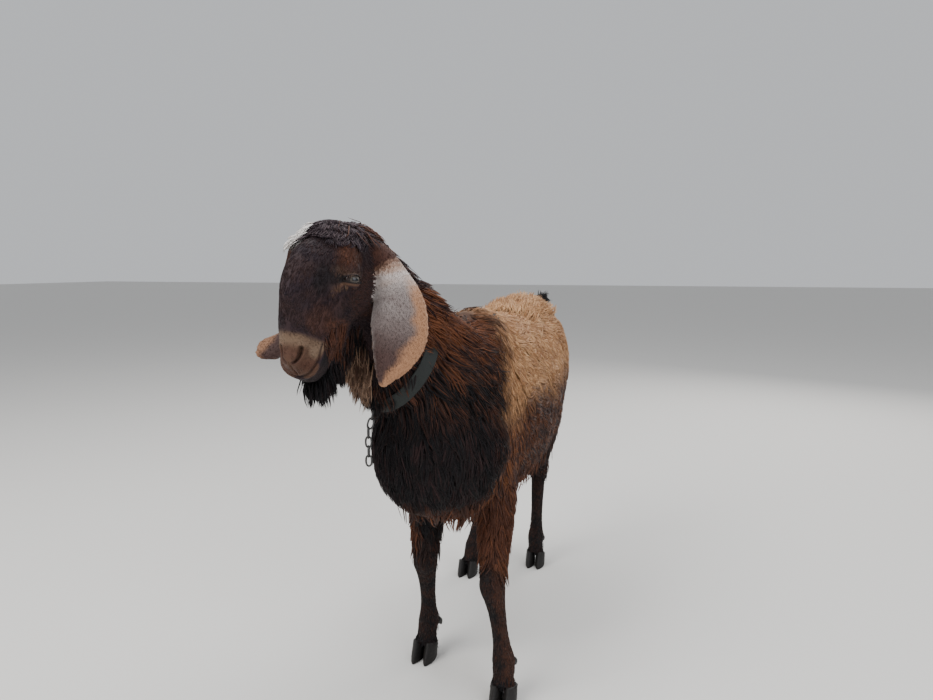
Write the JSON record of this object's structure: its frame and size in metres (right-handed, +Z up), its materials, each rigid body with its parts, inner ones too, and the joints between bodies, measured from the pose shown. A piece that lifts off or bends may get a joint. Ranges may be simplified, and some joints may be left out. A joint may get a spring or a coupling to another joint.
{
  "type": "life-size museum model of a standing lop-eared billy goat",
  "caption": "Standing polled billy goat with a Roman nose, long lop ears, a beard, a long coat on neck and chest, and a collar.",
  "frame": {"origin": "on the floor, under the middle of the model's box", "axes": "+Z up, the goat faces -Y, +X is its left"},
  "size_m": [0.4531, 1.1668, 0.9807],
  "materials": {
    "torso": "long wavy hair, sandy tan over reddish brown",
    "neck": "long dark mahogany hair",
    "tail": "long black hair",
    "head": "long dark mahogany hair",
    "scrotum": "long dark mahogany hair",
    "forearm_left": "long dark mahogany hair",
    "forearm_right": "long dark mahogany hair",
    "foreleg_left": "short black hair",
    "foreleg_right": "short black hair",
    "thigh_left": "long dark mahogany hair",
    "thigh_right": "long dark mahogany hair",
    "hindleg_left": "short black hair",
    "hindleg_right": "short black hair",
    "ear_left": "short tan and white hair",
    "ear_right": "short tan and white hair",
    "eye_left": "clear and wet, a horny gloss",
    "eye_right": "clear and wet, a horny gloss",
    "claw_fore_left_left": "dark horn",
    "claw_fore_left_right": "dark horn",
    "claw_fore_right_left": "dark horn",
    "claw_fore_right_right": "dark horn",
    "claw_hind_left_left": "dark horn",
    "claw_hind_left_right": "dark horn",
    "claw_hind_right_left": "dark horn",
    "claw_hind_right_right": "dark horn",
    "collar_strap": "worn dark webbing",
    "collar_chain": "dull bare metal"
  },
  "bodies": {
    "root": {"torso": "torso", "neck": "neck", "tail": "tail", "head": "head", "scrotum": "scrotum", "forearm_left": "forearm_left", "forearm_right": "forearm_right", "foreleg_left": "foreleg_left", "foreleg_right": "foreleg_right", "thigh_left": "thigh_left", "thigh_right": "thigh_right", "hindleg_left": "hindleg_left", "hindleg_right": "hindleg_right", "ear_left": "ear_left", "ear_right": "ear_right", "eye_left": "eye_left", "eye_right": "eye_right", "claw_fore_left_left": "claw_fore_left_left", "claw_fore_left_right": "claw_fore_left_right", "claw_fore_right_left": "claw_fore_right_left", "claw_fore_right_right": "claw_fore_right_right", "claw_hind_left_left": "claw_hind_left_left", "claw_hind_left_right": "claw_hind_left_right", "claw_hind_right_left": "claw_hind_right_left", "claw_hind_right_right": "claw_hind_right_right", "collar_strap": "collar_strap", "collar_chain": "collar_chain"}
  },
  "joints": []
}
